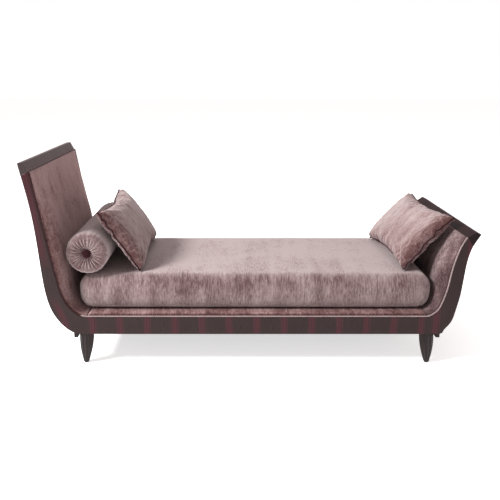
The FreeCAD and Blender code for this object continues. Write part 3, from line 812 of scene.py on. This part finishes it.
def end_pad(end):
    foam = end + "_end_foam"
    pad = remeshed_copy(foam, end + "_end_lining", 0.009)
    low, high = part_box(end + "_end_cover")
    line = [p for p in WOOD_LINE if low[0] - 0.01 <= p.x <= high[0] + 0.01]
    crown_pad(pad, line, high[1])
    reach = high[1] / (high[1] - 0.002)
    for vertex in pad.data.vertices:
        vertex.co.y *= reach
    smooth(pad)
    seat(pad, END_VELVETS[end], "frame", [end + "_end_cover", foam])
    print(pad.name, len(pad.data.vertices), "points")


# Each end takes its own copy of the velvet with painted light and shade: the tall end's is rosier, and
# the low end's is darker and greyer.
END_VELVETS = {"tall": TALL_END_VELVET, "low": LOW_END_VELVET}
for end in END_VELVETS:
    end_pad(end)


# %% [markdown]
# A welt is a cord wrapped in a strip of the cover and sewn into the seam. It runs along the inner
# line of the frame on both faces. It is a curve with a round section, laid on the line halfway
# between the wood and the outer side of the model's square welt. Its cloth is the pale, lit copy
# of the velvet, a painted highlight. On the tall end, which leans away from the light, its cloth
# reads much darker, so that stretch is a cord of its own in the near-black copy, painted shade.

# %% The welts
TALL_END_FOOT = 0.25
TURN = next(number for number, point in enumerate(CORD_LINE) if point.z < TALL_END_FOOT)
for face, side in (("front", -1), ("rear", 1)):
    middle_y = side * (abs(welt_low[1]) - WELT_RADIUS)
    route = [Vector((p.x, middle_y, p.z)) for p in CORD_LINE]
    welt = tube(face + "_welt_cord", route[TURN:], WELT_RADIUS * 0.93)
    seat(welt, LIT_WELT_VELVET, "frame", [face + "_welt"])
    shaded = tube(face + "_tall_end_cord", route[:TURN + 1], WELT_RADIUS * 0.93)
    seat(shaded, SHADED_TALL_END_WELT, "frame")
    print(welt.name, "and", shaded.name, "meet at point", TURN)


# %% [markdown]
# A pillow is two flat pieces of cloth sewn together round the edge and stuffed. Simulating
# exactly that gives the right shape: the middle swells, the sides pull in between the corners,
# and the cloth gathers into small folds along the seam. The simulation runs flat, at the size
# the cloth was cut to. Then the result is scaled to the space that the model keeps for it, with
# the back kept flatter because the pillow leans on something.

# %% Simulate a stuffed pillow
PILLOW_CUT = (0.42, 0.66)
PILLOW_CELL = 0.006


def pillow_blank():
    """Two layers of cloth that share their rim. The first axis is the height, the second the width."""
    rows, columns = (round(length / PILLOW_CELL) for length in PILLOW_CUT)
    points, faces, index = [], [], {}

    def place(layer, i, j):
        on_rim = i in (0, rows) or j in (0, columns)
        key = ("rim", i, j) if on_rim else (layer, i, j)
        if key not in index:
            lift = 0.0 if on_rim else (0.004 if layer else -0.004)
            index[key] = len(points)
            points.append(((i / rows - 0.5) * PILLOW_CUT[0], (j / columns - 0.5) * PILLOW_CUT[1], lift))
        return index[key]

    for layer in (0, 1):
        for i in range(rows):
            for j in range(columns):
                corners = ((i, j), (i + 1, j), (i + 1, j + 1), (i, j + 1))
                ring = [place(layer, *corner) for corner in corners]
                faces.append(ring if layer else ring[::-1])
    rim = [index["rim", i, 0] for i in range(rows + 1)]
    rim += [index["rim", rows, j] for j in range(1, columns + 1)]
    rim += [index["rim", i, columns] for i in range(rows - 1, -1, -1)]
    rim += [index["rim", 0, j] for j in range(columns - 1, 0, -1)]
    return points, faces, rim


CLOTH = {
    "quality": 8, "mass": 0.25, "tension_stiffness": 40, "compression_stiffness": 40,
    "shear_stiffness": 12, "bending_stiffness": 0.35, "tension_damping": 12,
    "compression_damping": 12, "air_damping": 4, "use_pressure": True, "uniform_pressure_force": 4.0,
}
LAST_FRAME = 34


def stuff_pillow(name, seed):
    """The simulated pillow's points, its faces and its rim."""
    points, faces, rim = pillow_blank()
    blank = build(name + "_blank", points, faces)
    for vertex in blank.data.vertices:
        vertex.co.z += 0.0015 * ripple(vertex.co, 0.03, seed)
    cloth = blank.modifiers.new("cloth", "CLOTH")
    for setting, value in CLOTH.items():
        setattr(cloth.settings, setting, value)
    cloth.settings.effector_weights.gravity = 0
    cloth.collision_settings.use_collision = False
    cloth.point_cache.frame_start = 1
    cloth.point_cache.frame_end = LAST_FRAME
    for number in range(1, LAST_FRAME + 1):
        scene.frame_set(number)
    result = blank.evaluated_get(bpy.context.evaluated_depsgraph_get())
    shaped = [vertex.co.copy() for vertex in result.data.vertices]
    bpy.data.objects.remove(blank)
    scene.frame_set(1)
    return shaped, faces, rim


# %% [markdown]
# The stuffed shape still has to lean where the model keeps room for it. The model's plain piping
# says where: its lowest and highest points give the pillow's foot, head and width. The simulation
# alone leaves the cloth smoother than real cloth is beside a seam, so small folds are added
# afterwards, as ridges of noise that die away from the seam.

# %% The folds along the seam
GATHER_LENGTH = 0.034
GATHER_HEIGHT = 0.013


def gather(flat, seed):
    """How much a point of the flat cut is lifted by the folds that run in from the seam."""
    gaps = [PILLOW_CUT[a] / 2 - abs(flat[a]) for a in range(2)]
    near = 0 if gaps[0] < gaps[1] else 1
    along = flat[1 - near] + 0.4 * gaps[near] * math.sin(flat[1 - near] * 21 + seed)
    side = math.copysign(near + 1, flat[near])
    wave = 0.45 - 2.2 * abs(noise.noise(Vector((along / 0.017, side * 5.3, seed + flat[2] * 900))))
    rise = min(1.0, gaps[near] / 0.009)
    return GATHER_HEIGHT * wave * rise * math.exp(-gaps[near] / GATHER_LENGTH)


# %% Fit a pillow to its place
PIPING_RADIUS = 0.0026
CAD_PIPING_RADIUS = 0.003
FULLNESS = {"front": 0.55, "back": 0.45}


def edge_ends(corners, height):
    """The front and rear ends of the piping's level edge at that height."""
    level = [corner for corner in corners if abs(corner.z - height) < 0.0005]
    return min(level, key=lambda p: p.y), max(level, key=lambda p: p.y)


def pillow_place(end):
    """The pillow's own frame: its height along X, its width along Y, its front along Z."""
    corners = [vertex.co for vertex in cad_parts[end + "_pillow_piping"].data.vertices]
    heights = [corner.z for corner in corners]
    foot = edge_ends(corners, min(heights))
    head = edge_ends(corners, max(heights))
    rise = Vector((0, 0, CAD_PIPING_RADIUS))
    foot_middle = (foot[0] + foot[1]) / 2 + rise
    head_middle = (head[0] + head[1]) / 2 - rise
    up = (head_middle - foot_middle).normalized()
    along = (foot[1] - foot[0]).normalized()
    front = up.cross(along)
    if front.z < 0:
        along = -along
        front = -front
    place = Matrix((up, along, front)).transposed().to_4x4()
    place.translation = (foot_middle + head_middle) / 2
    length = (foot[1] - foot[0]).length
    return place, Vector(((head_middle - foot_middle).length + 2 * CAD_PIPING_RADIUS, length))


def fitted_points(end, seed, shaped, place, size):
    """The simulated points scaled to the model's pillow, with the folds added."""
    inverse = place.inverted()
    cover = [inverse @ v.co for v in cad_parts[end + "_pillow_cover"].data.vertices]
    front, back = max(c.z for c in cover), min(c.z for c in cover)
    reach = [max(abs(p[a]) for p in shaped) for a in range(3)]
    fitted = []
    for cut, point in zip(pillow_blank()[0], shaped):
        x = point.x / reach[0] * (size.x / 2 - 2 * PIPING_RADIUS)
        y = point.y / reach[1] * (size.y / 2 - 2 * PIPING_RADIUS)
        side, depth = ("front", front) if point.z > 0 else ("back", -back)
        z = abs(point.z / reach[2]) ** FULLNESS[side] * depth + gather(cut, seed)
        fitted.append(Vector((x, y, math.copysign(z, point.z))))
    return fitted


# %% The pillows
def make_pillow(end, seed):
    name = end + "_pillow"
    shaped, faces, rim = stuff_pillow(name, seed)
    place, size = pillow_place(end)
    fitted = fitted_points(end, seed, shaped, place, size)
    body = build(name, fitted, faces, place)
    smooth(body)
    subdivide(body)
    seat(body, PILLOW_VELVET, name, [name + "_cover", name + "_filling"])
    edge = [fitted[index] for index in rim]
    middle = sum(edge, Vector()) / len(edge)
    route = []
    for point in edge:
        outward = Vector((point.x, point.y, 0)) - Vector((middle.x, middle.y, 0))
        route.append(point + outward.normalized() * PIPING_RADIUS)
    piping = tube(end + "_pillow_cord", route, PIPING_RADIUS, closed=True, place=place)
    seat(piping, TRIM, name, [name + "_piping"])
    print(name, len(body.data.vertices), "points, and", len(route), "on its piping")


for end, seed in (("tall", 1.0), ("low", 7.0)):
    make_pillow(end, seed)


# %% [markdown]
# A bolster is a stuffed roll. The cloth of each end is a ring drawn together in the middle, so
# it falls into folds that all point to the button. A simulation could gather it, but it would
# need very small cells and a long time, so a round grid is built. Along the roll it is
# nearly a cylinder, and on the ends its points dip towards the button and fold up and down with
# the angle, more and more towards the middle.

# %% The shape of the bolster
BOLSTER_SEGMENTS = 168
FOLDS = 25
FOLD_HEIGHT = 0.0085
BOLSTER_EDGE = 0.022
BUTTON_WELL = 0.016
WELL_DEPTH = 0.010


def fold_wave(angle, seed):
    """Uneven folds round the end: sharp valleys between rounded ridges."""
    wobble = 0.55 * noise.noise(Vector((math.cos(angle) * 2.3, math.sin(angle) * 2.3, seed)))
    return abs(math.sin((angle * FOLDS) / 2 + wobble * 2.2))


def bolster_rings(radius, half_length):
    """For each ring, its radius, its place along the roll and how much it folds."""
    steps_end, steps_edge, steps_body = 13, 7, 40
    flat = half_length - BOLSTER_EDGE
    end = []
    for step in range(steps_end):
        share = step / steps_end
        r = BUTTON_WELL + (radius - BOLSTER_EDGE - BUTTON_WELL) * share
        dip = WELL_DEPTH * (1 - share) ** 1.6
        end.append((r, half_length - dip + 0.004 * math.sin(math.pi * share), 1 - share))
    for step in range(steps_edge + 1):
        turn = step / steps_edge * math.pi / 2
        r = radius - BOLSTER_EDGE + BOLSTER_EDGE * math.sin(turn)
        end.append((r, flat + BOLSTER_EDGE * math.cos(turn), 0.0))
    body = [(radius, -flat + 2 * flat * step / steps_body, 0.0) for step in range(1, steps_body)]
    return [(r, -y, fold) for r, y, fold in end] + body + end[::-1]


def bolster_shape(radius, half_length, seed):
    """The points and faces of the roll about its own Y axis."""
    rings = bolster_rings(radius, half_length)
    points = []
    for r, y, fold in rings:
        side = -1 if y < 0 else 1
        reach = max(0.0, 1 - (half_length - abs(y)) / 0.07)
        for segment in range(BOLSTER_SEGMENTS):
            angle = 2 * math.pi * segment / BOLSTER_SEGMENTS
            across, up = math.cos(angle), math.sin(angle)
            wave = fold_wave(angle, seed + side) - 0.6
            rr = r * (1 + 0.006 * ripple((across * 0.1, y, up * 0.1), 0.08, seed))
            lift = 0.0
            if fold > 0:
                lift = wave * FOLD_HEIGHT * min(1.0, 0.35 + fold * 1.1) * min(1.0, r / 0.03)
            else:
                rr += 0.0022 * wave * reach
            points.append(Vector((rr * across, y + side * lift, rr * up)))
    faces = []
    for ring in range(len(rings) - 1):
        for segment in range(BOLSTER_SEGMENTS):
            following = (segment + 1) % BOLSTER_SEGMENTS
            a, b = ring * BOLSTER_SEGMENTS + segment, ring * BOLSTER_SEGMENTS + following
            faces.append((a, b, b + BOLSTER_SEGMENTS, a + BOLSTER_SEGMENTS))
    last = len(points) - BOLSTER_SEGMENTS
    faces.append(tuple(range(BOLSTER_SEGMENTS))[::-1])
    faces.append(tuple(range(last, last + BOLSTER_SEGMENTS)))
    return points, faces


# %% The bolster
bolster_low, bolster_high = node_box("bolster_cover")
bolster_place = Matrix.Translation((bolster_low + bolster_high) / 2)
bolster_radius = (bolster_high.z - bolster_low.z) / 2
bolster_half = (bolster_high.y - bolster_low.y) / 2
bolster = build("bolster", *bolster_shape(bolster_radius * 0.99, bolster_half, 4.0), bolster_place)
smooth(bolster)
seat(bolster, BOLSTER_VELVET, "bolster", ["bolster_cover", "bolster_core"])
print("bolster", len(bolster.data.vertices), "points")


# %% [markdown]
# A covered button is a metal dome wrapped in cloth, pulled tight over a rim that turns in
# underneath. It is the outline of half a button turned round its axis, as on a lathe. A squashed
# sphere would be quicker, but it has no rim.

# %% The covered buttons
BUTTON_OUTLINE = (
    (0.0, 1.0), (0.35, 0.97), (0.62, 0.86), (0.82, 0.66), (0.95, 0.36), (1.0, 0.05),
    (0.93, -0.25), (0.7, -0.4),
)
BUTTON_SEGMENTS = 40
BUTTON_SINK = 0.006


def button_shape(radius, thickness, outward):
    """The points and faces of a domed button turned about its own Y axis."""
    points, faces = [Vector((0, outward * thickness, 0))], []
    for share, height in BUTTON_OUTLINE[1:]:
        for segment in range(BUTTON_SEGMENTS):
            angle = 2 * math.pi * segment / BUTTON_SEGMENTS
            across, up = radius * share * math.cos(angle), radius * share * math.sin(angle)
            points.append(Vector((across, outward * thickness * height, up)))
    for segment in range(BUTTON_SEGMENTS):
        following = (segment + 1) % BUTTON_SEGMENTS
        faces.append((0, 1 + segment, 1 + following))
        for ring in range(len(BUTTON_OUTLINE) - 2):
            a, b = 1 + ring * BUTTON_SEGMENTS + segment, 1 + ring * BUTTON_SEGMENTS + following
            faces.append((a, a + BUTTON_SEGMENTS, b + BUTTON_SEGMENTS, b))
    if outward > 0:
        faces = [face[::-1] for face in faces]
    return points, faces


for face, side in (("front", -1), ("rear", 1)):
    node = f"bolster_{face}_button"
    low, high = node_box(node)
    radius, thickness = (high.x - low.x) / 2, (high.y - low.y) * 1.3
    base = (low + high) / 2
    base.y = (high.y if side < 0 else low.y) - side * BUTTON_SINK
    place = Matrix.Translation(base)
    button = build(node + "_cover", *button_shape(radius, thickness, side), place)
    smooth(button)
    subdivide(button)
    seat(button, TRIM, "bolster", [node])
    print(button.name, "radius", round(radius, 4))


# %% [markdown]
# Under the deck there are bands of webbing that pass over and under each other, canvas above
# them, and a black cloth below that keeps the dust in. All of it is hidden from above, but the
# daybed can be looked at from below, so the cloths sag a little between the rails. The bands are
# woven by a sine wave with its phase turned on every second band.

# %% The webbing
BAND_WIDTH = 0.05
BAND_RISE = 0.0006


def strip(low, high, run_axis, weave_pitch, phase):
    """A flat band that waves over and under the bands that cross it."""
    cross_axis = 1 - run_axis
    steps = max(8, int((high[run_axis] - low[run_axis]) / 0.02))
    thick = (high.z - low.z) * 0.4
    points, faces = [], []
    for step in range(steps + 1):
        run = low[run_axis] + (high[run_axis] - low[run_axis]) * step / steps
        wave = BAND_RISE * math.sin(math.pi * (run / weave_pitch + phase))
        for cross in (low[cross_axis], high[cross_axis]):
            for offset in (-thick / 2, thick / 2):
                point = [0, 0, (low.z + high.z) / 2 + wave + offset]
                point[run_axis], point[cross_axis] = run, cross
                points.append(point)
    for step in range(steps):
        a = step * 4
        for i, j in ((0, 1), (1, 3), (3, 2), (2, 0)):
            faces.append((a + i, a + j, a + 4 + j, a + 4 + i))
    faces.append((0, 2, 3, 1))
    faces.append((steps * 4, steps * 4 + 1, steps * 4 + 3, steps * 4 + 2))
    return points, faces


def band_set(name, node, count, run_axis, pitch):
    low, high = node_box(node)
    cross_axis = 1 - run_axis
    gap = (high[cross_axis] - low[cross_axis] - BAND_WIDTH) / (count - 1)
    points, faces = [], []
    for number in range(count):
        a, b = Vector(low), Vector(high)
        a[cross_axis] = low[cross_axis] + number * gap
        b[cross_axis] = a[cross_axis] + BAND_WIDTH
        band_points, band_faces = strip(a, b, run_axis, pitch, number % 2)
        start = len(points)
        points += band_points
        faces += [tuple(start + index for index in face) for face in band_faces]
    seat(build(name, points, faces), JUTE, "frame", [node])
    print(name, count, "bands")


band_set("cross_bands", "cross_webbing", 10, 1, 0.196)
band_set("long_bands", "long_webbing", 4, 0, 0.147)


# %% The canvas and the dust cloth
def stretched_cloth(name, node, sag, material):
    """A thin sheet that sags a little in its middle."""
    low, high = node_box(node)
    columns, rows = 60, 32
    points, faces = [], []
    for i in range(columns + 1):
        for j in range(rows + 1):
            u, v = i / columns, j / rows
            drop = sag * (math.sin(math.pi * u) * math.sin(math.pi * v)) ** 0.5
            x, y = low.x + (high.x - low.x) * u, low.y + (high.y - low.y) * v
            point = Vector((x, y, (low.z + high.z) / 2 - drop))
            point.z += 0.0006 * ripple(point, 0.07, 1.0) * min(1.0, drop / 0.001)
            points.append(point)
    for i in range(columns):
        for j in range(rows):
            a = i * (rows + 1) + j
            faces.append((a, a + rows + 1, a + rows + 2, a + 1))
    piece = build(name, points, faces)
    smooth(piece)
    seat(piece, material, "frame", [node])


stretched_cloth("under_cloth", "dust_cover", 0.0015, DUST_CLOTH)
stretched_cloth("canvas_sheet", "deck_canvas", 0.0004, CANVAS)


# %% [markdown]
# The daybed stands on a plain pale floor that meets a white background. A large soft lamp high
# on the left gives the tops of the cushions their light and leaves the low end's outside dark,
# and two weak lamps open the shadows. The world has two backgrounds, which a Light Path chooses
# between: the camera sees plain white, while the daybed is lit by a weaker, slightly rosy sky
# that keeps the velvet's shadows deep.

# %% The floor
def pale_floor():
    material, nodes, shader, coordinates = new_material(
        "pale_floor", 0.9, specular_ior_level=0.1, emission_color=(1, 1, 1, 1), emission_strength=0.6,
    )
    grain = nodes.noise(coordinates, 3.0, 2.0, 0.5)
    coat(nodes, shader, nodes.blend(nodes.spread(grain, 0.3, 0.7), (0.99,) * 3, (0.96,) * 3))
    floor = build("floor", [(-30, -30, 0), (30, -30, 0), (30, 30, 0), (-30, 30, 0)], [(0, 1, 2, 3)])
    floor.data.materials.append(material)


pale_floor()
print("floor laid at height 0")


# %% The lamps and the sky
LAMP_AIM = Vector((0, 0, 0.4))
SKY_LIGHT = 0.45


def lamp(name, size, power, place):
    light = bpy.data.lights.new(name, "AREA")
    light.shape = "RECTANGLE"
    light.size, light.size_y = size
    light.energy = power
    lamp_object = new_object(name, light)
    lamp_object.location = place
    lamp_object.rotation_euler = (LAMP_AIM - Vector(place)).to_track_quat("-Z", "Y").to_euler()


def soft_sky():
    world = bpy.data.worlds.new("studio")
    world.use_nodes = True
    background = world.node_tree.nodes["Background"]
    background.inputs["Color"].default_value = (1, 0.87, 0.86, 1)
    background.inputs["Strength"].default_value = SKY_LIGHT
    backdrop = world.node_tree.nodes.new("ShaderNodeBackground")
    backdrop.inputs["Color"].default_value = (1, 1, 1, 1)
    seen = world.node_tree.nodes.new("ShaderNodeLightPath")
    choice = world.node_tree.nodes.new("ShaderNodeMixShader")
    links = world.node_tree.links
    links.new(seen.outputs["Is Camera Ray"], choice.inputs[0])
    links.new(background.outputs[0], choice.inputs[1])
    links.new(backdrop.outputs[0], choice.inputs[2])
    links.new(choice.outputs[0], world.node_tree.nodes["World Output"].inputs["Surface"])
    scene.world = world


soft_sky()
lamp("key", (1.6, 1.6), 720, (-4.8, -2.1, 4.5))
lamp("top", (3.0, 1.4), 25, (0.3, 0.4, 3.4))
lamp("front", (3.0, 1.5), 20, (0.4, -4.5, 2.2))
print(len(bpy.data.lights), "lamps, and a sky of", SKY_LIGHT)


# %% [markdown]
# The camera stands in front, slightly to the left of the middle, at about the height of a
# child's eyes, and looks down by about sixteen degrees. A camera's own X axis is level, so one
# angle is enough to aim it. The plain colour transform keeps the white of the background white.

# %% The camera
CAMERA_PLACE = (-0.088, -3.1385, 1.340)
LOOK_DOWN = 15.872


def set_camera():
    data = bpy.data.cameras.new("camera")
    data.sensor_width = 36.0
    data.lens = 44.95
    data.shift_x = 0.034
    camera = new_object("camera", data)
    camera.location = CAMERA_PLACE
    camera.rotation_euler = (math.radians(90 - LOOK_DOWN), 0, 0)
    scene.camera = camera
    return camera


camera = set_camera()
scene.view_settings.view_transform = "Standard"
print("camera", CAMERA_PLACE, "lens", round(camera.data.lens, 2))
